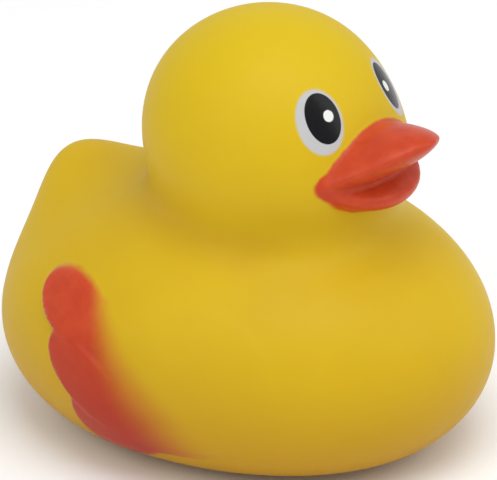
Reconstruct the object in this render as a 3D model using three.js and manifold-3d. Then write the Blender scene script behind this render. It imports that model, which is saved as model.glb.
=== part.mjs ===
// Rubber duck: one hollow vinyl moulding, 95 mm long, with a round head, a two-lipped bill,
// low-relief wings and an upturned tail. Millimetres, +Z up. The duck faces -Y and +X is its
// left. The origin is on the flat base, under the middle of the duck.
import * as THREE from 'three';
import { mergeVertices } from 'three/addons/utils/BufferGeometryUtils.js';
import Module from 'manifold-3d';

// ---------------------------------------------------------------- driving dimensions

// moulding
const WALL = 2.0; // thickness of the vinyl skin
const AIR_HOLE_RADIUS = 1.5; // the air hole in the base
const AIR_HOLE_Y = 17; // it lies behind the middle of the base
const BASE_EDGE = 6; // how far the rounding between base and hull reaches

// hull
const HULL_CENTRE_Z = 19.5;
const HULL_HALF_WIDTH = 39.3;
const HULL_HALF_LENGTH = 47.6;
const HULL_RISE = 27.9; // from the widest level to the top of the hull
const HULL_DROP = 26.1; // from the widest level to the keel, before the base is cut flat
const HULL_FULLNESS = 2.08; // exponent of the hull's section: 2 is an ellipse
const HULL_TAPER = 0.08; // the hull narrows by this share towards the breast

// tail
const TAIL_CENTRE = [0, 30.9, 27.9];
const TAIL_HALF = [13.2, 19.3, 7.3]; // half width, half length along the tail, half thickness
const TAIL_TILT = 55.7; // degrees up from level
const TAIL_BLEND = 12;

// head
const HEAD_CENTRE = [0, -3.9, 60.1];
const HEAD_HALF = [22.8, 22.8, 21];
const CHEEK_CENTRE = [0, -8.5, 53.2]; // a wide form that fills out the cheeks
const CHEEK_HALF = [20.5, 20, 12.5];
const CHEEK_BLEND = 10.6;
const NECK_BLEND = 9;

// bill: each half is a plate that is widest along its rim
const UPPER_BILL_CENTRE = [0, -21.2, 57.7];
const UPPER_BILL_PITCH = 19; // degrees that the upper bill points up
const UPPER_BILL = { wide: 14.5, long: 19.5, above: 5.6, below: 5.7, plan: 1.65, section: 1.6 };
const UPPER_BILL_ARCH = 2.6; // how far its sides droop to the corners of the mouth
const LOWER_BILL_CENTRE = [0, -21, 56.3];
const LOWER_BILL = { wide: 14.7, long: 12.7, above: 2.6, below: 4.6, plan: 2.1, section: 2.2 };
const LOWER_BILL_CURL = 1; // how far its sides rise to the corners of the mouth
const LOWER_BILL_DROP = 0.3; // slope of its floor down towards the front
const MOUTH_HOLLOW = { depth: 0.5, z: 54.6, reach: 1.4 };
const LIP_BLEND = 1.2;

// wings
const WING_RELIEF = 1.3; // how far the feathers stand out of the flank
const WING_EDGE = 1.6; // width of the slope along the edge of the relief
const WING_PANEL = { y: -7.5, z: 22.3, along: 21.4, up: 15.2, tilt: 0 };
const WING_FEATHERS = [
  { y: 12.7, z: 30.9, along: 9.9, up: 5.1, tilt: 17 },
  { y: 6.7, z: 16.6, along: 13, up: 3.8, tilt: 36.6 },
  { y: 2.5, z: 12.6, along: 9.6, up: 8, tilt: 10 },
];

// how fine the facets are
const SKIN_FACET = 3.1;
const BILL_FACET = 1.2;
const CAVITY_FACET = 4.2;

// ---------------------------------------------------------------- rounded forms

const radians = THREE.MathUtils.degToRad;

// Joins two forms with a fillet that reaches over the given width.
function joined(a, b, reach) {
  const h = Math.max(reach - Math.abs(a - b), 0) / reach;
  return Math.min(a, b) - h * h * reach * 0.25;
}

// Keeps what two forms share, with the edge between them rounded over the given width.
function shared(a, b, reach) {
  return -joined(-a, -b, reach);
}

// Distance to a form |x/a|^n + |y/b|^n + |z/c|^n = 1, negative inside.
function rounded(x, y, z, [a, b, c], n = 2) {
  const ax = Math.abs(x / a) + 1e-9;
  const ay = Math.abs(y / b) + 1e-9;
  const az = Math.abs(z / c) + 1e-9;
  const g = (ax ** n + ay ** n + az ** n) ** (1 / n);
  const slope = Math.hypot(ax ** (n - 1) / a, ay ** (n - 1) / b, az ** (n - 1) / c) * g ** (1 - n);
  return (g - 1) / (slope + 1e-9);
}

// Distance to a flat oval in the side view, tilted up towards the tail, negative inside.
function oval(y, z, o) {
  const c = Math.cos(radians(o.tilt));
  const s = Math.sin(radians(o.tilt));
  const ay = (c * (y - o.y) + s * (z - o.z)) / o.along;
  const az = (c * (z - o.z) - s * (y - o.y)) / o.up;
  const g = Math.hypot(ay, az) + 1e-9;
  return ((g - 1) * g) / Math.hypot(ay / o.along, az / o.up, 1e-9);
}

function hull(x, y, z) {
  const level = z - HULL_CENTRE_Z;
  const height = level > 0 ? HULL_RISE : HULL_DROP;
  const taper = 1 - (HULL_TAPER * y) / HULL_HALF_LENGTH;
  return rounded(x * taper, y, level, [HULL_HALF_WIDTH, HULL_HALF_LENGTH, height], HULL_FULLNESS);
}

function tail(x, y, z) {
  const c = Math.cos(radians(TAIL_TILT));
  const s = Math.sin(radians(TAIL_TILT));
  const dy = y - TAIL_CENTRE[1];
  const dz = z - TAIL_CENTRE[2];
  return rounded(x, c * dy + s * dz, c * dz - s * dy, TAIL_HALF);
}

function head(x, y, z) {
  const skull = rounded(x - HEAD_CENTRE[0], y - HEAD_CENTRE[1], z - HEAD_CENTRE[2], HEAD_HALF);
  const cheeks = rounded(x - CHEEK_CENTRE[0], y - CHEEK_CENTRE[1], z - CHEEK_CENTRE[2], CHEEK_HALF);
  return joined(skull, cheeks, CHEEK_BLEND);
}

// Height of the wing's relief above the flank at a point of the side view.
function wingRelief(x, y, z) {
  let edge = oval(y, z, WING_PANEL);
  for (const feather of WING_FEATHERS) edge = joined(edge, oval(y, z, feather), 1.5);
  const inside = THREE.MathUtils.smoothstep(-edge, -WING_EDGE / 2, WING_EDGE / 2);
  const rearward = THREE.MathUtils.smoothstep(y, -26, 14);
  const flank = THREE.MathUtils.smoothstep(Math.abs(x), 10, 20);
  const clearOfBase = THREE.MathUtils.smoothstep(z, 2, 8);
  return WING_RELIEF * inside * flank * clearOfBase * (0.35 + 0.65 * rearward);
}

// The whole duck without its bill, smooth all over.
function plainDuck(x, y, z, relief) {
  const body = joined(hull(x, y, z), tail(x, y, z), TAIL_BLEND) - relief;
  return joined(shared(body, -z, BASE_EDGE), head(x, y, z), NECK_BLEND);
}

function skin(x, y, z) {
  return plainDuck(x, y, z, wingRelief(x, y, z));
}

function cavity(x, y, z) {
  return shared(plainDuck(x, y, z, 0) + WALL, WALL - z, 2);
}

// Distance to a plate, widest along its rim, that is rounded in plan and in section.
function plate(x, y, z, { wide, long, above, below, plan, section }) {
  const high = z > 0 ? above : below;
  const ax = Math.abs(x / wide) + 1e-6;
  const ay = Math.abs(y / long) + 1e-6;
  const az = Math.abs(z / high) + 1e-6;
  const rim = (ax ** plan + ay ** plan) ** (1 / plan);
  const g = (rim ** section + az ** section) ** (1 / section);
  const k = g ** (1 - section);
  const side = k * rim ** (section - plan);
  const slope = Math.hypot(
    (side * ax ** (plan - 1)) / wide, (side * ay ** (plan - 1)) / long, (k * az ** (section - 1)) / high);
  return (g - 1) / (slope + 1e-6);
}

function bill(x, y, z) {
  const c = Math.cos(radians(UPPER_BILL_PITCH));
  const s = Math.sin(radians(UPPER_BILL_PITCH));
  const dy = y - UPPER_BILL_CENTRE[1];
  const dz = z - UPPER_BILL_CENTRE[2];
  const rise = s * dy + c * dz + UPPER_BILL_ARCH * (x / UPPER_BILL.wide) ** 2;
  const upper = plate(x, c * dy - s * dz, rise, UPPER_BILL);

  const ly = y - LOWER_BILL_CENTRE[1];
  const curl = LOWER_BILL_CURL * (x / LOWER_BILL.wide) ** 2;
  const floor = z - LOWER_BILL_CENTRE[2] - curl - LOWER_BILL_DROP * ly;
  const sideways = Math.min(Math.abs(x / LOWER_BILL.wide), 1);
  const level = (z - MOUTH_HOLLOW.z) / MOUTH_HOLLOW.reach;
  const hollow = MOUTH_HOLLOW.depth * Math.exp(-level * level) * sideways;
  return joined(upper, plate(x, ly, floor, LOWER_BILL) + hollow, LIP_BLEND);
}

// ---------------------------------------------------------------- facets

// Covers the zero surface of a form with a closed mesh of evenly sized facets.
function facetedForm(form, low, high, facet) {
  const steps = [0, 1, 2].map((k) => Math.ceil((high[k] - low[k]) / facet));
  const start = [0, 1, 2].map((k) => (low[k] + high[k] - steps[k] * facet) / 2);
  const [nx, ny, nz] = steps.map((n) => n + 1);
  const at = (i, j, k) => (k * ny + j) * nx + i;
  const place = (i, j, k) => [start[0] + i * facet, start[1] + j * facet, start[2] + k * facet];
  const values = new Float64Array(nx * ny * nz);
  for (let k = 0; k < nz; k++)
    for (let j = 0; j < ny; j++)
      for (let i = 0; i < nx; i++) values[at(i, j, k)] = form(...place(i, j, k)) || 1e-9;

  const cellVertex = new Int32Array(nx * ny * nz).fill(-1);
  const points = [];
  for (let k = 0; k < nz - 1; k++)
    for (let j = 0; j < ny - 1; j++)
      for (let i = 0; i < nx - 1; i++) {
        const sum = new THREE.Vector3();
        let crossings = 0;
        for (let axis = 0; axis < 3; axis++)
          for (let n = 0; n < 4; n++) {
            const from = [i, j, k];
            from[(axis + 1) % 3] += n & 1;
            from[(axis + 2) % 3] += n >> 1;
            const to = [...from];
            to[axis] += 1;
            const a = values[at(...from)];
            const b = values[at(...to)];
            if (a < 0 === b < 0) continue;
            const p = new THREE.Vector3(...place(...from));
            p.setComponent(axis, p.getComponent(axis) + (facet * a) / (a - b));
            sum.add(p);
            crossings++;
          }
        if (!crossings) continue;
        cellVertex[at(i, j, k)] = points.length;
        points.push(settle(form, sum.divideScalar(crossings)));
      }

  const faces = [];
  for (let k = 1; k < nz - 1; k++)
    for (let j = 1; j < ny - 1; j++)
      for (let i = 1; i < nx - 1; i++)
        for (let axis = 0; axis < 3; axis++) {
          const next = [i, j, k];
          next[axis] += 1;
          const inside = values[at(i, j, k)] < 0;
          if (inside === values[at(...next)] < 0) continue;
          const u = (axis + 1) % 3;
          const v = (axis + 2) % 3;
          const ring = [[1, 1], [0, 1], [0, 0], [1, 0]].map(([du, dv]) => {
            const cell = [i, j, k];
            cell[u] -= du;
            cell[v] -= dv;
            return cellVertex[at(...cell)];
          });
          if (!inside) ring.reverse();
          const [a, b, c, d] = ring;
          const split = points[a].distanceTo(points[c]) < points[b].distanceTo(points[d]);
          faces.push(...(split ? [a, b, c, a, c, d] : [a, b, d, b, c, d]));
        }

  const geometry = new THREE.BufferGeometry();
  const flat = points.flatMap((p) => [p.x, p.y, p.z]);
  geometry.setAttribute('position', new THREE.Float32BufferAttribute(flat, 3));
  geometry.setIndex(faces);
  return geometry;
}

// Moves a point straight onto the zero surface of a form.
function settle(form, point) {
  const e = 0.02;
  const p = point.clone();
  for (let turn = 0; turn < 4; turn++) {
    const f = form(p.x, p.y, p.z);
    const slope = new THREE.Vector3(
      form(p.x + e, p.y, p.z) - form(p.x - e, p.y, p.z),
      form(p.x, p.y + e, p.z) - form(p.x, p.y - e, p.z),
      form(p.x, p.y, p.z + e) - form(p.x, p.y, p.z - e)).divideScalar(2 * e);
    p.addScaledVector(slope, -f / Math.max(slope.lengthSq(), 0.2));
  }
  if (Math.abs(p.z) < 0.02) p.z = 0;
  return p;
}

// ---------------------------------------------------------------- joining and cutting

const wasm = await Module();
wasm.setup();

function solidFrom(source) {
  const bare = source.clone();
  bare.deleteAttribute('normal');
  bare.deleteAttribute('uv');
  const geometry = mergeVertices(bare);
  return new wasm.Manifold(new wasm.Mesh({
    numProp: 3,
    vertProperties: new Float32Array(geometry.attributes.position.array),
    triVerts: new Uint32Array(geometry.index.array),
  }));
}

function geometryFrom(solid) {
  const mesh = solid.getMesh();
  const geometry = new THREE.BufferGeometry();
  geometry.setAttribute('position', new THREE.Float32BufferAttribute(mesh.vertProperties, 3));
  geometry.setIndex(Array.from(mesh.triVerts));
  geometry.computeVertexNormals();
  return geometry;
}

const skinSolid = solidFrom(facetedForm(skin, [-47, -54, -6], [47, 54, 88], SKIN_FACET));
const billSolid = solidFrom(facetedForm(bill, [-18, -44, 38], [18, 2, 76], BILL_FACET));
const cavitySolid = solidFrom(facetedForm(cavity, [-46, -54, -6], [46, 54, 88], CAVITY_FACET));

const holeShape = new THREE.CylinderGeometry(AIR_HOLE_RADIUS, AIR_HOLE_RADIUS, 4 * WALL, 16);
holeShape.rotateX(Math.PI / 2);
holeShape.translate(0, AIR_HOLE_Y, WALL / 2);

const duckSolid = skinSolid.add(billSolid).subtract(cavitySolid).subtract(solidFrom(holeShape));

// ---------------------------------------------------------------- the duck

const vinyl = new THREE.MeshStandardMaterial({ color: 0xe6bd22, roughness: 0.42, metalness: 0 });
const duck = new THREE.Mesh(geometryFrom(duckSolid), vinyl);
duck.name = 'duck_body';

const group = new THREE.Group();
group.add(duck);

export default group;
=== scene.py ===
"""A rubber duck: its fine vinyl skin with sprayed and printed paint, in a plain pale studio.

Shapes are worked out in millimetres and handed to Blender in metres. The duck faces -Y, +Z is up
and +X is its left side, with the origin on the base under the middle of the duck.
"""

import logging
import math
from collections.abc import Callable
from dataclasses import dataclass, field
from enum import Enum

import bpy
import numpy as np
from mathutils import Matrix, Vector


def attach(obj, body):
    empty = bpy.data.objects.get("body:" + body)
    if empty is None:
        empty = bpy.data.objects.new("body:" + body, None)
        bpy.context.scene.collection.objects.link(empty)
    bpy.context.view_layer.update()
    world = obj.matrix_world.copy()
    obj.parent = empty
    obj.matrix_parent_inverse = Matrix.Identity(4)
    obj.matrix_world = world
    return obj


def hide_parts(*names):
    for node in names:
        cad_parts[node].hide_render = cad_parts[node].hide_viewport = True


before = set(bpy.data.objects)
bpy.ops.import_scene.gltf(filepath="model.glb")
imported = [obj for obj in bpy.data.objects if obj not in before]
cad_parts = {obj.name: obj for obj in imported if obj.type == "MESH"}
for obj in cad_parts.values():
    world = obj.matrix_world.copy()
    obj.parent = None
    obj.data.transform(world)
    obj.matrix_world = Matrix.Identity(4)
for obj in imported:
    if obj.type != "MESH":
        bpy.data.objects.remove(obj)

Array = np.ndarray
Form = Callable[[Array, Array, Array], Array]
Point = tuple[float, float, float]
Pair = tuple[float, float]
Socket = bpy.types.NodeSocket
Colour = tuple[float, float, float, float]
LOG = logging.getLogger("duck")
MM = 0.001


# ------------------------------------------------------------------ rounded forms


def joined(a: Array, b: Array, reach: float) -> Array:
    """Joins two forms with a fillet.

    Args:
        a: Distance to the first form.
        b: Distance to the second form.
        reach: How far the fillet spreads.

    Returns:
        Distance to the two forms together.
    """
    overlap = np.maximum(reach - np.abs(a - b), 0.0) / reach
    return np.minimum(a, b) - overlap * overlap * reach * 0.25


def shared(a: Array, b: Array, reach: float) -> Array:
    """Keeps what two forms share.

    Args:
        a: Distance to the first form.
        b: Distance to the second form.
        reach: How far the rounding of the edge between them spreads.

    Returns:
        Distance to the shared part.
    """
    return -joined(-a, -b, reach)


def ramp(value: Array, start: float, end: float) -> Array:
    """Rises smoothly from 0 at start to 1 at end.

    Args:
        value: Where to read the ramp.
        start: Value at and before which the ramp is 0.
        end: Value at and after which the ramp is 1.

    Returns:
        Height of the ramp, from 0 to 1.
    """
    t = np.clip((value - start) / (end - start), 0.0, 1.0)
    return t * t * (3.0 - 2.0 * t)


@dataclass(frozen=True)
class Plate:
    """A form that is widest along a level rim, rounded in plan and in section.

    With plan and section both 2 it is an ellipsoid. Lower numbers make it more pointed and higher
    numbers make it fuller.
    """

    wide: float
    long: float
    above: float
    below: float
    plan: float = 2.0
    section: float = 2.0

    def distance(self, x: Array, y: Array, z: Array) -> Array:
        """Distance to the surface, negative inside.

        Args:
            x: Sideways from the centre.
            y: Lengthways from the centre.
            z: Height above the rim.

        Returns:
            Distance, true near the surface.
        """
        high = np.where(z > 0, self.above, self.below)
        ax = np.abs(x / self.wide) + 1e-6
        ay = np.abs(y / self.long) + 1e-6
        az = np.abs(z / high) + 1e-6
        rim = (ax**self.plan + ay**self.plan) ** (1.0 / self.plan)
        size = (rim**self.section + az**self.section) ** (1.0 / self.section)
        pull = size ** (1.0 - self.section)
        side = pull * rim ** (self.section - self.plan)
        slope = np.sqrt(
            (side * ax ** (self.plan - 1.0) / self.wide) ** 2
            + (side * ay ** (self.plan - 1.0) / self.long) ** 2
            + (pull * az ** (self.section - 1.0) / high) ** 2
        )
        return (size - 1.0) / (slope + 1e-6)


@dataclass(frozen=True)
class Oval:
    """A flat oval seen from the duck's side, tilted up towards the tail."""

    y: float
    z: float
    along: float
    up: float
    tilt: float = 0.0
    relief: float = 0.0

    def gap(self, y: Array, z: Array) -> Array:
        """Distance to the oval's edge in the side view, negative inside.

        Args:
            y: Position along the duck.
            z: Height above the base.

        Returns:
            Distance, true near the edge.
        """
        c, s = math.cos(math.radians(self.tilt)), math.sin(math.radians(self.tilt))
        ay = (c * (y - self.y) + s * (z - self.z)) / self.along
        az = (c * (z - self.z) - s * (y - self.y)) / self.up
        size = np.sqrt(ay * ay + az * az) + 1e-9
        return (size - 1.0) * size / np.sqrt((ay / self.along) ** 2 + (az / self.up) ** 2 + 1e-12)


# ------------------------------------------------------------------ parts of the moulding


@dataclass(frozen=True)
class Hull:
    """The egg-shaped body, cut flat at its base."""

    level: float = 19.5
    half_width: float = 39.3
    half_length: float = 47.6
    rise: float = 27.9
    drop: float = 26.1
    fullness: float = 2.08
    taper: float = 0.08

    def distance(self, x: Array, y: Array, z: Array) -> Array:
        """Distance to the uncut hull, negative inside."""
        form = Plate(self.half_width, self.half_length, self.rise, self.drop, self.fullness, self.fullness)
        return form.distance(x * (1.0 - self.taper * y / self.half_length), y, z - self.level)


@dataclass(frozen=True)
class Tail:
    """The broad upturned tail behind the back."""

    y: float = 30.9
    z: float = 27.9
    half_width: float = 13.2
    half_length: float = 19.3
    half_thickness: float = 7.3
    tilt: float = 55.7
    blend: float = 12.0

    def distance(self, x: Array, y: Array, z: Array) -> Array:
        """Distance to the tail, negative inside.

        Args:
            x: Sideways from the middle of the duck.
            y: Position along the duck.
            z: Height above the base.

        Returns:
            Distance, true near the surface.
        """
        c, s = math.cos(math.radians(self.tilt)), math.sin(math.radians(self.tilt))
        along = c * (y - self.y) + s * (z - self.z)
        thick = c * (z - self.z) - s * (y - self.y)
        form = Plate(self.half_width, self.half_length, self.half_thickness, self.half_thickness)
        return form.distance(x, along, thick)


@dataclass(frozen=True)
class Head:
    """The round head with its full cheeks, on its short neck."""

    y: float = -3.9
    z: float = 60.1
    skull: Plate = Plate(22.8, 22.8, 21.0, 21.0)
    cheek_y: float = -8.5
    cheek_z: float = 53.2
    cheeks: Plate = Plate(20.5, 20.0, 12.5, 12.5)
    cheek_blend: float = 10.6
    neck_blend: float = 9.0

    def distance(self, x: Array, y: Array, z: Array) -> Array:
        """Distance to the head, negative inside."""
        skull = self.skull.distance(x, y - self.y, z - self.z)
        return joined(skull, self.cheeks.distance(x, y - self.cheek_y, z - self.cheek_z), self.cheek_blend)


@dataclass(frozen=True)
class Bill:
    """The half-open bill, filled between its lips."""

    upper: Plate = Plate(14.5, 19.5, 5.6, 5.7, 1.65, 1.6)
    upper_y: float = -21.2
    upper_z: float = 57.7
    pitch: float = 19.0
    arch: float = 2.6
    lower: Plate = Plate(14.7, 12.7, 2.6, 4.6, 2.1, 2.2)
    lower_y: float = -21.0
    lower_z: float = 56.3
    curl: float = 1.0
    drop: float = 0.3
    hollow_depth: float = 0.5
    hollow_z: float = 54.6
    hollow_reach: float = 1.4
    lip_blend: float = 1.2
    root_blend: float = 1.0
    corner: Point = (13.2, -26.6, 56.6)
    corner_reach: float = 1.65
    corner_blend: float = 0.8

    def spray_gap(self, x: Array, y: Array, z: Array) -> Array:
        """Distance to the sprayed area, which rounds off the corners of the mouth.

        Args:
            x: Sideways from the middle of the duck.
            y: Position along the duck.
            z: Height above the base.

        Returns:
            Distance, negative inside the area.
        """
        across, along, above = self.corner
        reach = np.sqrt((np.abs(x) - across) ** 2 + (y - along) ** 2 + (z - above) ** 2)
        return joined(self.distance(x, y, z), reach - self.corner_reach, self.corner_blend)

    def distance(self, x: Array, y: Array, z: Array) -> Array:
        """Distance to the bill, negative inside.

        Args:
            x: Sideways from the middle of the duck.
            y: Position along the duck.
            z: Height above the base.

        Returns:
            Distance, true near the surface.
        """
        c, s = math.cos(math.radians(self.pitch)), math.sin(math.radians(self.pitch))
        along = c * (y - self.upper_y) - s * (z - self.upper_z)
        lift = s * (y - self.upper_y) + c * (z - self.upper_z)
        upper = self.upper.distance(x, along, lift + self.arch * (x / self.upper.wide) ** 2)
        back = y - self.lower_y
        floor = z - self.lower_z - self.curl * (x / self.lower.wide) ** 2 - self.drop * back
        sideways = np.minimum(np.abs(x / self.lower.wide), 1.0)
        hollow = self.hollow_depth * np.exp(-(((z - self.hollow_z) / self.hollow_reach) ** 2)) * sideways
        return joined(upper, self.lower.distance(x, back, floor) + hollow, self.lip_blend)


@dataclass(frozen=True)
class Wing:
    """A folded wing in low relief on each flank, ending in three feathers."""

    panel: Oval = Oval(-7.5, 22.3, 21.4, 15.2, 0.0, 0.35)
    feathers: tuple[Oval, ...] = (
        Oval(12.9, 30.8, 9.9, 5.1, 17.0, 1.35),
        Oval(6.4, 18.1, 13.2, 5.5, 36.6, 1.1),
        Oval(2.5, 12.6, 9.6, 8.0, 10.0, 0.85),
    )
    edge: float = 1.1
    outline_blend: float = 1.5
    step_blend: float = 0.25
    root_share: float = 0.25
    root_span: Pair = (-9.0, 3.0)
    flank_span: Pair = (10.0, 20.0)
    base_span: Pair = (2.0, 8.0)
    fade_y: float = 10.0
    fade_z: float = 34.8
    fade_slant: float = 0.586
    fade_narrow: float = 3.4
    fade_spread: float = 0.45
    fade_top: float = 35.0
    fade_limits: Pair = (3.0, 12.0)

    def gap(self, y: Array, z: Array) -> Array:
        """Distance to the outline of the whole wing in the side view, negative inside.

        Args:
            y: Position along the duck.
            z: Height above the base.

        Returns:
            Distance, true near the outline.
        """
        outline = self.panel.gap(y, z)
        for feather in self.feathers:
            outline = joined(outline, feather.gap(y, z), self.outline_blend)
        return outline

    def fade(self, y: Array, z: Array) -> Array:
        """How far the spray has built up from the front of the wing towards the feather tips.

        Args:
            y: Position along the duck.
            z: Height above the base.

        Returns:
            0 where the spray is half built up, and 1 or more where it is full.
        """
        middle = self.fade_y - self.fade_slant * (self.fade_z - z)
        width = np.clip(self.fade_narrow + self.fade_spread * (self.fade_top - z), *self.fade_limits)
        return (y - middle) / width

    def relief(self, x: Array, y: Array, z: Array) -> Array:
        """How far the wing stands out of the flank.

        Args:
            x: Sideways from the middle of the duck.
            y: Position along the duck.
            z: Height above the base.

        Returns:
            Height of the relief.
        """
        half = self.edge / 2.0
        height = self.panel.relief * ramp(-self.panel.gap(y, z), -half, half * 3.0)
        for feather in self.feathers:
            step = feather.relief * ramp(-feather.gap(y, z), -half, half)
            rise = ramp(y, feather.y + self.root_span[0], feather.y + self.root_span[1])
            step = step * (self.root_share + (1.0 - self.root_share) * rise)
            height = -joined(-height, -step, self.step_blend)
        return height * ramp(np.abs(x), *self.flank_span) * ramp(z, *self.base_span)


@dataclass(frozen=True)
class AirHole:
    """The air hole in the base, made as a short pocket."""

    y: float = 17.0
    radius: float = 1.5
    depth: float = 5.0
    edge: float = 0.3

    def distance(self, x: Array, y: Array, z: Array) -> Array:
        """Distance to the hole's wall, negative in the hole."""
        return np.maximum(np.sqrt(x * x + (y - self.y) ** 2) - self.radius, z - self.depth)


@dataclass(frozen=True)
class Eye:
    """A printed eye, mirrored onto the other side of the head."""

    centre: Point = (9.97, -22.96, 68.07)
    lean: float = -7.5
    white_lean: float = -2.0
    pupil: Pair = (3.3, 4.65)
    white: Pair = (4.45, 5.88)
    white_shift: Pair = (0.68, -0.55)
    glint: Pair = (1.0, 1.08)
    glint_shift: Pair = (-1.1, 0.3)
    print_depth: float = 8.0
    out_of_reach: float = 50.0

    def place(self, x: Array, y: Array, z: Array, head: Head) -> tuple[Array, Array]:
        """Places points on the eye's own flat print.

        Args:
            x: Sideways from the middle of the duck.
            y: Position along the duck.
            z: Height above the base.
            head: The head that carries the eye.

        Returns:
            Distance outwards from the bill and distance upwards, from the middle of the pupil.
        """
        middle = np.array(self.centre)
        out = middle - np.array([0.0, head.y, head.z])
        out = out / np.linalg.norm(out)
        aside = np.cross([0.0, 0.0, 1.0], out)
        aside = aside / np.linalg.norm(aside)
        above = np.cross(out, aside)
        dx, dy, dz = np.abs(x) - middle[0], y - middle[1], z - middle[2]
        depth = dx * out[0] + dy * out[1] + dz * out[2]
        far = np.where(depth < -self.print_depth, self.out_of_reach, 0.0)
        return (
            dx * aside[0] + dy * aside[1] + dz * aside[2] + far,
            dx * above[0] + dy * above[1] + dz * above[2] + far,
        )


class Coat(Enum):
    """What the skin carries for its material at each of its points."""

    BILL = "bill_line"
    WING = "wing_line"
    FADE = "wing_fade"
    WHITE = "eye_white_line"
    PUPIL = "pupil_line"
    GLINT = "glint_line"
    # Painted shade: how near a point lies to the neck's fold, where the vinyl is darkened.
    FOLD_SHADE = "neck_fold"


# ------------------------------------------------------------------ finishes


class Sum(Enum):
    """The sums that a material makes."""

    ADD = "ADD"
    TIMES = "MULTIPLY"
    LARGER = "MAXIMUM"


@dataclass(frozen=True)
class Grain:
    """A noise over the object, in waves per metre, and the readings that are spread from 0 to 1."""

    scale: float
    detail: float
    span: Pair = (0.0, 1.0)
    roughness: float = 0.5


class Nodes:
    """Builds a material's node tree with short calls."""

    MIX_COVER = 0
    MIX_VALUES = (2, 3)
    MIX_COLOURS = (6, 7)
    MIXED_VALUE = 0
    MIXED_COLOUR = 2

    def __init__(self, name: str) -> None:
        """Starts an empty material.

        Args:
            name: Name of the material.
        """
        self.material = bpy.data.materials.new(name)
        self.material.use_nodes = True
        self.tree = self.material.node_tree
        self.tree.nodes.clear()
        self.shader = self.tree.nodes.new("ShaderNodeBsdfPrincipled")
        output = self.tree.nodes.new("ShaderNodeOutputMaterial")
        self.join(self.shader.outputs["BSDF"], output.inputs["Surface"])

    def join(self, source: Socket, target: Socket) -> None:
        """Links one socket to another."""
        self.tree.links.new(source, target)

    def carried(self, coat: Coat) -> Socket:
        """Reads what the mesh carries.

        Args:
            coat: Which of the carried values is read.

        Returns:
            The value.
        """
        node = self.tree.nodes.new("ShaderNodeAttribute")
        node.attribute_name = coat.value
        return node.outputs["Fac"]

    def place(self) -> Socket:
        """Reads the position on the object."""
        return self.tree.nodes.new("ShaderNodeTexCoord").outputs["Object"]

    def height(self) -> Socket:
        """Reads the height above the base.

        Returns:
            The height in metres.
        """
        node = self.tree.nodes.new("ShaderNodeSeparateXYZ")
        self.join(self.place(), node.inputs["Vector"])
        return node.outputs["Z"]

    def noise(self, grain: Grain) -> Socket:
        """Adds a noise over the object.

        Args:
            grain: Scale and detail of the noise.

        Returns:
            The noise as it comes.
        """
        node = self.tree.nodes.new("ShaderNodeTexNoise")
        node.inputs["Scale"].default_value = grain.scale
        node.inputs["Detail"].default_value = grain.detail
        node.inputs["Roughness"].default_value = grain.roughness
        self.join(self.place(), node.inputs["Vector"])
        return node.outputs["Fac"]

    def grain(self, grain: Grain, low: float = 0.0, high: float = 1.0) -> Socket:
        """Adds a noise that is spread between two values."""
        return self.rise(self.noise(grain), grain.span, low, high)

    def sums(self, kind: Sum, a: Socket, b: Socket) -> Socket:
        """Adds a sum of two values.

        Args:
            kind: Which sum it is.
            a: First value.
            b: Second value.

        Returns:
            The result.
        """
        node = self.tree.nodes.new("ShaderNodeMath")
        node.operation = kind.value
        self.join(a, node.inputs[0])
        self.join(b, node.inputs[1])
        return node.outputs[0]

    def rise(self, source: Socket, span: Pair, low: float = 0.0, high: float = 1.0) -> Socket:
        """Adds a smooth step from one value to another.

        Args:
            source: What the step reads.
            span: Readings at which the step starts and ends.
            low: Value before the step.
            high: Value after the step.

        Returns:
            The step.
        """
        node = self.tree.nodes.new("ShaderNodeMapRange")
        node.interpolation_type = "SMOOTHSTEP"
        start, end = span
        if start > end:
            start, end, low, high = end, start, high, low
        self.join(source, node.inputs["Value"])
        node.inputs["From Min"].default_value = start
        node.inputs["From Max"].default_value = end
        node.inputs["To Min"].default_value = low
        node.inputs["To Max"].default_value = high
        return node.outputs["Result"]

    def blend(self, cover: Socket, under: Socket | Colour, over: Socket | Colour) -> Socket:
        """Lays one colour over another.

        Args:
            cover: How much of the upper colour shows.
            under: Lower colour.
            over: Upper colour.

        Returns:
            The mixed colour.
        """
        node = self.tree.nodes.new("ShaderNodeMix")
        node.data_type = "RGBA"
        self.join(cover, node.inputs[self.MIX_COVER])
        for value, place in zip((under, over), self.MIX_COLOURS):
            if isinstance(value, Socket):
                self.join(value, node.inputs[place])
            else:
                node.inputs[place].default_value = value
        return node.outputs[self.MIXED_COLOUR]

    def level(self, cover: Socket, under: Socket, over: float) -> Socket:
        """Lays one value over another.

        Args:
            cover: How much of the upper value shows.
            under: Lower value.
            over: Upper value.

        Returns:
            The mixed value.
        """
        node = self.tree.nodes.new("ShaderNodeMix")
        below, above = self.MIX_VALUES
        self.join(cover, node.inputs[self.MIX_COVER])
        self.join(under, node.inputs[below])
        node.inputs[above].default_value = over
        return node.outputs[self.MIXED_VALUE]

    def swell(self, height: Socket, strength: float, depth: float) -> None:
        """Adds a bump to the shader.

        Args:
            height: Height of the bump, from 0 to 1.
            strength: Share of the bump that shows.
            depth: Depth of the bump in metres.
        """
        node = self.tree.nodes.new("ShaderNodeBump")
        node.inputs["Strength"].default_value = strength
        node.inputs["Distance"].default_value = depth
        self.join(height, node.inputs["Height"])
        self.join(node.outputs["Normal"], self.shader.inputs["Normal"])


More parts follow.
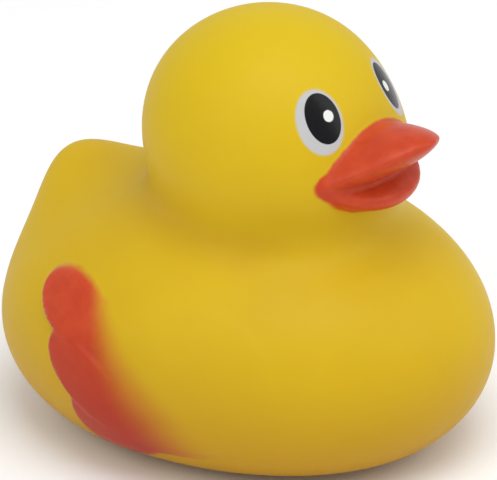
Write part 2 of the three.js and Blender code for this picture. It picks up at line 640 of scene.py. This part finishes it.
@dataclass(frozen=True)
class VinylFinish:
    """Soft satin yellow vinyl, with painted light that makes the head lighter and more lemon, and painted
    shade that makes it darker and more orange low down and in the neck's fold.
    """

    bright: Colour = (0.605, 0.4, 0.004, 1.0)
    deep: Colour = (0.57, 0.368, 0.004, 1.0)
    patches: Grain = Grain(28.0, 3.0, (0.3, 0.7))
    # Painted light: a lighter, more lemon yellow towards the top, over the head.
    high: Colour = (0.615, 0.432, 0.003, 1.0)
    painted_light_span: Pair = (0.05, 0.085)
    # Painted shade: a darker, more orange yellow low down and in the neck's fold.
    low: Colour = (0.47, 0.24, 0.003, 1.0)
    painted_shade_span: Pair = (0.036, -0.004)
    # Painted shade in the neck's fold: where it starts and how strongly it covers.
    fold_shade_span: Pair = (9.0, 0.0)
    fold_shade_cover: float = 0.4
    roughness: Pair = (0.47, 0.54)
    wear: Grain = Grain(140.0, 3.0, (0.2, 0.8))
    specular: float = 0.2
    glow: float = 0.15
    glow_radius: Point = (1.0, 0.5, 0.08)
    glow_scale: float = 0.002
    pores: Grain = Grain(900.0, 2.0)
    pore_strength: float = 0.12
    pore_depth: float = 0.0002

    def colour(self, n: Nodes) -> Socket:
        """Mixes the vinyl's colour, with painted light on the head and painted shade low down and in the
        neck's fold.

        Args:
            n: The material being made.

        Returns:
            The colour.
        """
        colour = n.blend(n.grain(self.patches), self.deep, self.bright)
        # Painted light on the head, then painted shade low down and in the neck's fold.
        colour = n.blend(n.rise(n.height(), self.painted_light_span), colour, self.high)
        colour = n.blend(n.rise(n.height(), self.painted_shade_span), colour, self.low)
        fold = n.rise(n.carried(Coat.FOLD_SHADE), self.fold_shade_span, 0.0, self.fold_shade_cover)
        return n.blend(fold, colour, self.low)

    def dress(self, n: Nodes) -> None:
        """Sets the vinyl's gloss, its inner glow and its fine pores.

        Args:
            n: The material being made.
        """
        n.shader.inputs["Specular IOR Level"].default_value = self.specular
        n.shader.inputs["Subsurface Weight"].default_value = self.glow
        n.shader.inputs["Subsurface Radius"].default_value = self.glow_radius
        n.shader.inputs["Subsurface Scale"].default_value = self.glow_scale
        n.swell(n.noise(self.pores), self.pore_strength, self.pore_depth)


@dataclass(frozen=True)
class SprayFinish:
    """Orange-red spray paint on the bill and the wing feathers, with painted shade that darkens it low
    down.
    """

    bright: Colour = (0.56, 0.066, 0.018, 1.0)
    deep: Colour = (0.48, 0.045, 0.012, 1.0)
    mist: Grain = Grain(260.0, 4.0, (0.25, 0.8), 0.6)
    # Painted shade: a darker paint low down.
    low: Colour = (0.38, 0.026, 0.006, 1.0)
    painted_shade_span: Pair = (0.036, 0.01)
    roughness: float = 0.33
    rag: Grain = Grain(420.0, 2.0)
    rag_reach: float = 0.16
    bill_edge: Pair = (0.8, 0.28)
    wing_edge: Pair = (0.35, -0.35)
    drift: Grain = Grain(60.0, 3.0, (0.2, 0.8))
    drift_reach: float = 0.1
    fade_span: Pair = (-1.1, 0.42)

    def colour(self, n: Nodes) -> Socket:
        """Mixes the paint's colour, with painted shade low down.

        Args:
            n: The material being made.

        Returns:
            The colour.
        """
        paint = n.blend(n.grain(self.mist), self.deep, self.bright)
        # Painted shade: the paint is darkened low down.
        return n.blend(n.rise(n.height(), self.painted_shade_span), paint, self.low)

    def cover(self, n: Nodes) -> Socket:
        """How much spray paint covers the skin, with ragged edges and a fade along the wing.

        Args:
            n: The material being made.

        Returns:
            Cover of the spray paint, from 0 to 1.
        """
        rag = n.grain(self.rag, -self.rag_reach, self.rag_reach)
        drift = n.grain(self.drift, -self.drift_reach, self.drift_reach)
        bill = n.rise(n.sums(Sum.ADD, n.carried(Coat.BILL), rag), self.bill_edge)
        wing = n.rise(n.sums(Sum.ADD, n.carried(Coat.WING), rag), self.wing_edge)
        fade = n.rise(n.sums(Sum.ADD, n.carried(Coat.FADE), drift), self.fade_span)
        return n.sums(Sum.LARGER, bill, n.sums(Sum.TIMES, wing, fade))


@dataclass(frozen=True)
class EyePrint:
    """Printed paint of the eyes."""

    white: Colour = (0.47, 0.47, 0.475, 1.0)
    white_edge: Pair = (0.32, -0.32)
    black: Colour = (0.003, 0.003, 0.004, 1.0)
    black_edge: Pair = (0.07, -0.07)
    glint: Colour = (0.72, 0.74, 0.7, 1.0)
    glint_edge: Pair = (0.1, -0.1)
    roughness: float = 0.2

    def pupil(self, n: Nodes) -> Socket:
        """How much of the pupil's black covers the skin."""
        return n.rise(n.carried(Coat.PUPIL), self.black_edge)

    def over(self, n: Nodes, colour: Socket) -> Socket:
        """Prints the eyes over a colour.

        Args:
            n: The material being made.
            colour: Colour under the print.

        Returns:
            The colour with the eyes on it.
        """
        colour = n.blend(n.rise(n.carried(Coat.WHITE), self.white_edge), colour, self.white)
        colour = n.blend(self.pupil(n), colour, self.black)
        return n.blend(n.rise(n.carried(Coat.GLINT), self.glint_edge), colour, self.glint)


@dataclass(frozen=True)
class PaintedSkin:
    """The skin's whole material: vinyl, spray paint and printed eyes, with painted light and painted shade
    in the vinyl and painted shade in the spray.
    """

    vinyl: VinylFinish = VinylFinish()
    spray: SprayFinish = SprayFinish()
    eyes: EyePrint = EyePrint()

    def material(self) -> bpy.types.Material:
        """Makes the material.

        Returns:
            The material.
        """
        n = Nodes("painted_vinyl")
        sprayed = self.spray.cover(n)
        painted = n.blend(sprayed, self.vinyl.colour(n), self.spray.colour(n))
        n.join(self.eyes.over(n, painted), n.shader.inputs["Base Color"])
        rough = n.level(sprayed, n.grain(self.vinyl.wear, *self.vinyl.roughness), self.spray.roughness)
        rough = n.level(self.eyes.pupil(n), rough, self.eyes.roughness)
        n.join(rough, n.shader.inputs["Roughness"])
        self.vinyl.dress(n)
        return n.material


@dataclass(frozen=True)
class FloorFinish:
    """Matt white board."""

    light: Colour = (0.95, 0.95, 0.95, 1.0)
    shade: Colour = (0.93, 0.93, 0.93, 1.0)
    clouds: Grain = Grain(3.0, 2.0, (0.3, 0.7))
    roughness: float = 0.9

    def material(self) -> bpy.types.Material:
        """Makes the material.

        Returns:
            The material.
        """
        n = Nodes("white_board")
        n.join(n.blend(n.grain(self.clouds), self.shade, self.light), n.shader.inputs["Base Color"])
        n.shader.inputs["Roughness"].default_value = self.roughness
        return n.material


# ------------------------------------------------------------------ mesh


@dataclass(frozen=True)
class Facets:
    """Covers a form with an even closed mesh of small four-sided faces."""

    low: Point
    high: Point
    size: float
    settling_turns: int = 3
    settling_step: float = 0.02
    least_slope: float = 0.25
    longest_move: float = 0.5

    def cover(self, form: Form) -> tuple[Array, Array]:
        """Makes the mesh of a form's surface.

        Args:
            form: Function from x, y and z to the distance.

        Returns:
            The points, and the four points of each face.
        """
        steps = [int(math.ceil((h - l) / self.size)) for l, h in zip(self.low, self.high)]
        axes = [
            (l + h - n * self.size) / 2.0 + self.size * np.arange(n + 1)
            for l, h, n in zip(self.low, self.high, steps)
        ]
        values = form(axes[0][:, None, None], axes[1][None, :, None], axes[2][None, None, :])
        inside = values < 0.0
        total = np.zeros([3] + steps)
        count = np.zeros(steps, np.int32)
        crossings = []
        for axis in range(3):
            here = [slice(None)] * 3
            there = [slice(None)] * 3
            here[axis], there[axis] = slice(0, -1), slice(1, None)
            crossed = np.argwhere(inside[tuple(here)] != inside[tuple(there)])
            ahead = crossed.copy()
            ahead[:, axis] += 1
            near, far = values[tuple(crossed.T)], values[tuple(ahead.T)]
            point = np.stack([axes[k][crossed[:, k]] for k in range(3)], 1)
            point[:, axis] += self.size * near / (near - far)
            others = [k for k in range(3) if k != axis]
            for da in (0, 1):
                for db in (0, 1):
                    cell = crossed.copy()
                    cell[:, others[0]] -= da
                    cell[:, others[1]] -= db
                    np.add.at(count, tuple(cell.T), 1)
                    for k in range(3):
                        np.add.at(total[k], tuple(cell.T), point[:, k])
            crossings.append(crossed)
        number = np.full(steps, -1, np.int64)
        used = count > 0
        number[used] = np.arange(int(used.sum()))
        points = np.stack([total[k][used] / count[used] for k in range(3)], 1)
        faces = [self._ring(crossed, axis, number, inside) for axis, crossed in enumerate(crossings)]
        return self._settle(form, points), np.concatenate(faces)

    def _ring(self, crossed: Array, axis: int, number: Array, inside: Array) -> Array:
        """Faces around the grid edges of one direction.

        Args:
            crossed: Grid edges that the surface crosses.
            axis: Direction of those edges.
            number: Number of each cell's point.
            inside: Which grid corners are inside the form.

        Returns:
            The four points of each face, in order around its outward side.
        """
        u, v = (axis + 1) % 3, (axis + 2) % 3
        corners = []
        for du, dv in ((1, 1), (0, 1), (0, 0), (1, 0)):
            cell = crossed.copy()
            cell[:, u] -= du
            cell[:, v] -= dv
            corners.append(number[tuple(cell.T)])
        ring = np.stack(corners, 1)
        inward = ~inside[tuple(crossed.T)]
        ring[inward] = ring[inward][:, ::-1]
        return ring

    def _settle(self, form: Form, points: Array) -> Array:
        """Moves points straight onto the form's surface.

        Args:
            form: Function from x, y and z to the distance.
            points: Points near the surface.

        Returns:
            The moved points.
        """
        e = self.settling_step
        for _ in range(self.settling_turns):
            x, y, z = points.T
            value = form(x, y, z)
            slope = np.stack([
                form(x + e, y, z) - form(x - e, y, z),
                form(x, y + e, z) - form(x, y - e, z),
                form(x, y, z + e) - form(x, y, z - e),
            ], 1) / (2.0 * e)
            step = value[:, None] * slope / np.maximum((slope**2).sum(1), self.least_slope)[:, None]
            length = np.linalg.norm(step, axis=1, keepdims=True)
            points = points - step * np.minimum(1.0, self.longest_move * self.size / (length + 1e-9))
        points[np.abs(points[:, 2]) < self.settling_step / 2.0, 2] = 0.0
        return points


# ------------------------------------------------------------------ the duck


@dataclass
class Duck:
    """The whole moulding with its paint."""

    hull: Hull = field(default_factory=Hull)
    tail: Tail = field(default_factory=Tail)
    head: Head = field(default_factory=Head)
    bill: Bill = field(default_factory=Bill)
    wing: Wing = field(default_factory=Wing)
    eye: Eye = field(default_factory=Eye)
    air_hole: AirHole = field(default_factory=AirHole)
    skin: PaintedSkin = field(default_factory=PaintedSkin)
    base_edge: float = 6.0
    low: Point = (-43.0, -51.0, -3.0)
    high: Point = (43.0, 51.0, 84.0)
    facet: float = 0.66
    wing_paint_from: float = 12.0
    out_of_reach: float = 40.0
    shade_breast_span: Pair = (14.0, 30.0)
    shade_breast_clear: float = 9.0

    def body(self, x: Array, y: Array, z: Array) -> Array:
        """Distance to the duck without its bill, negative inside.

        Args:
            x: Sideways from the middle of the duck.
            y: Position along the duck.
            z: Height above the base.

        Returns:
            Distance, true near the surface.
        """
        hull = joined(self.hull.distance(x, y, z), self.tail.distance(x, y, z), self.tail.blend)
        hull = shared(hull - self.wing.relief(x, y, z), -z + 0.0 * hull, self.base_edge)
        return joined(hull, self.head.distance(x, y, z), self.head.neck_blend)

    def distance(self, x: Array, y: Array, z: Array) -> Array:
        """Distance to the duck's skin, negative inside."""
        whole = joined(self.body(x, y, z), self.bill.distance(x, y, z), self.bill.root_blend)
        return shared(whole, -self.air_hole.distance(x, y, z), self.air_hole.edge)

    def build(self) -> bpy.types.Object:
        """Makes the duck's object, with its paint lines and its material.

        Returns:
            The object.
        """
        points, faces = Facets(self.low, self.high, self.facet).cover(self.distance)
        mesh = bpy.data.meshes.new("duck_skin")
        mesh.from_pydata((points * MM).tolist(), [], faces.tolist())
        mesh.polygons.foreach_set("use_smooth", [True] * len(mesh.polygons))
        for coat, values in self.paint_lines(*points.T).items():
            line = mesh.attributes.new(coat.value, "FLOAT", "POINT")
            line.data.foreach_set("value", values.astype(np.float32))
        mesh.update()
        duck = bpy.data.objects.new("duck_skin", mesh)
        bpy.context.scene.collection.objects.link(duck)
        mesh.materials.append(self.skin.material())
        LOG.info("duck_skin: %d points, %d faces", len(points), len(faces))
        return duck

    def paint_lines(self, x: Array, y: Array, z: Array) -> dict[Coat, Array]:
        """Works out what the skin carries at each of its points.

        Args:
            x: Sideways from the middle of the duck.
            y: Position along the duck.
            z: Height above the base.

        Returns:
            Distances in millimetres, negative under the paint. The fade is a share of its own width, and
            the fold shade is how far a point lies from the crease between head and hull, kept off the
            breast; it places painted shade in the neck's fold.
        """
        eye = self.eye
        u, v = eye.place(x, y, z, self.head)
        middle = np.where(np.abs(x) < self.wing_paint_from, self.out_of_reach, 0.0)
        # Distance to the neck's fold, for the painted shade there, which is kept off the breast.
        crease = np.maximum(self.hull.distance(x, y, z), self.head.distance(x, y, z))
        return {
            Coat.BILL: self.bill.spray_gap(x, y, z),
            Coat.WING: self.wing.gap(y, z) + middle,
            Coat.FADE: self.wing.fade(y, z),
            Coat.WHITE: Oval(*eye.white_shift, *eye.white, eye.white_lean).gap(u, v),
            Coat.PUPIL: Oval(0.0, 0.0, *eye.pupil, eye.lean).gap(u, v),
            Coat.GLINT: Oval(*eye.glint_shift, *eye.glint).gap(u, v),
            Coat.FOLD_SHADE: crease + self.shade_breast_clear * ramp(-y, *self.shade_breast_span),
        }


# ------------------------------------------------------------------ the studio


@dataclass(frozen=True)
class SoftLight:
    """A square soft light that faces the duck."""

    name: str
    azimuth: float
    elevation: float
    distance: float
    side: float
    watts: float

    def build(self, target: Vector) -> None:
        """Hangs the light.

        Args:
            target: Where the light points.
        """
        lamp = bpy.data.lights.new(self.name, "AREA")
        lamp.shape = "SQUARE"
        lamp.size = self.side
        lamp.energy = self.watts
        holder = bpy.data.objects.new(self.name, lamp)
        bpy.context.scene.collection.objects.link(holder)
        way = direction(self.azimuth, self.elevation)
        holder.location = target + way * self.distance
        holder.rotation_euler = way.to_track_quat("Z", "Y").to_euler()
        LOG.info("%s: %.1f W", self.name, self.watts)


@dataclass(frozen=True)
class Studio:
    """Plain pale floor, soft lights and the camera."""

    azimuth: float = -53.87
    elevation: float = 23.76
    distance: float = 0.8
    lens: float = 319.9
    sensor: float = 36.0
    clip: Pair = (0.01, 20.0)
    aim: Point = (-9.28, -6.14, 40.09)
    floor_half: float = 4.0
    sky: float = 0.7
    lights: tuple[SoftLight, ...] = (
        SoftLight("top_light", -35.0, 70.0, 0.9, 0.6, 3.5),
        SoftLight("side_light", -100.0, 35.0, 1.0, 0.5, 1.3),
        SoftLight("front_light", 25.0, 35.0, 1.1, 0.6, 1.9),
    )

    def build(self) -> None:
        """Builds the floor, the lights, the sky and the camera."""
        target = Vector(self.aim) * MM
        for light in self.lights:
            light.build(target)
        self._floor()
        self._sky()
        self._camera(target)

    def _floor(self) -> None:
        """Lays the floor board."""
        h = self.floor_half
        mesh = bpy.data.meshes.new("floor")
        mesh.from_pydata([(-h, -h, 0.0), (h, -h, 0.0), (h, h, 0.0), (-h, h, 0.0)], [], [(0, 1, 2, 3)])
        board = bpy.data.objects.new("floor", mesh)
        bpy.context.scene.collection.objects.link(board)
        mesh.materials.append(FloorFinish().material())
        LOG.info("floor laid")

    def _sky(self) -> None:
        """Sets an even white light all around and plain colours."""
        world = bpy.data.worlds.new("studio_air")
        world.use_nodes = True
        background = world.node_tree.nodes["Background"]
        background.inputs["Color"].default_value = (1.0, 1.0, 1.0, 1.0)
        background.inputs["Strength"].default_value = self.sky
        bpy.context.scene.world = world
        bpy.context.scene.view_settings.view_transform = "Standard"

    def _camera(self, target: Vector) -> None:
        """Places the camera.

        Args:
            target: Where the camera looks.
        """
        lens = bpy.data.cameras.new("camera")
        lens.lens = self.lens
        lens.sensor_width = self.sensor
        lens.clip_start, lens.clip_end = self.clip
        holder = bpy.data.objects.new("camera", lens)
        bpy.context.scene.collection.objects.link(holder)
        way = direction(self.azimuth, self.elevation)
        holder.location = target + way * self.distance
        holder.rotation_euler = way.to_track_quat("Z", "Y").to_euler()
        bpy.context.scene.camera = holder
        LOG.info("camera set")


def direction(azimuth: float, elevation: float) -> Vector:
    """Direction from the duck to a place around it.

    Args:
        azimuth: Degrees round from the duck's front towards its left.
        elevation: Degrees above level.

    Returns:
        A vector one metre long.
    """
    a, e = math.radians(azimuth), math.radians(elevation)
    return Vector((math.sin(a) * math.cos(e), -math.cos(a) * math.cos(e), math.sin(e)))


def main() -> None:
    """Builds the duck and the studio, hangs the duck on the root body and hides the imported duck_body;
    the build logs the skin's points and faces.
    """
    logging.basicConfig(level=logging.INFO, format="%(name)s: %(message)s")
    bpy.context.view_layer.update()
    duck = Duck().build()
    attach(duck, "root")
    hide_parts("duck_body")
    Studio().build()


if __name__ == "__main__":
    main()
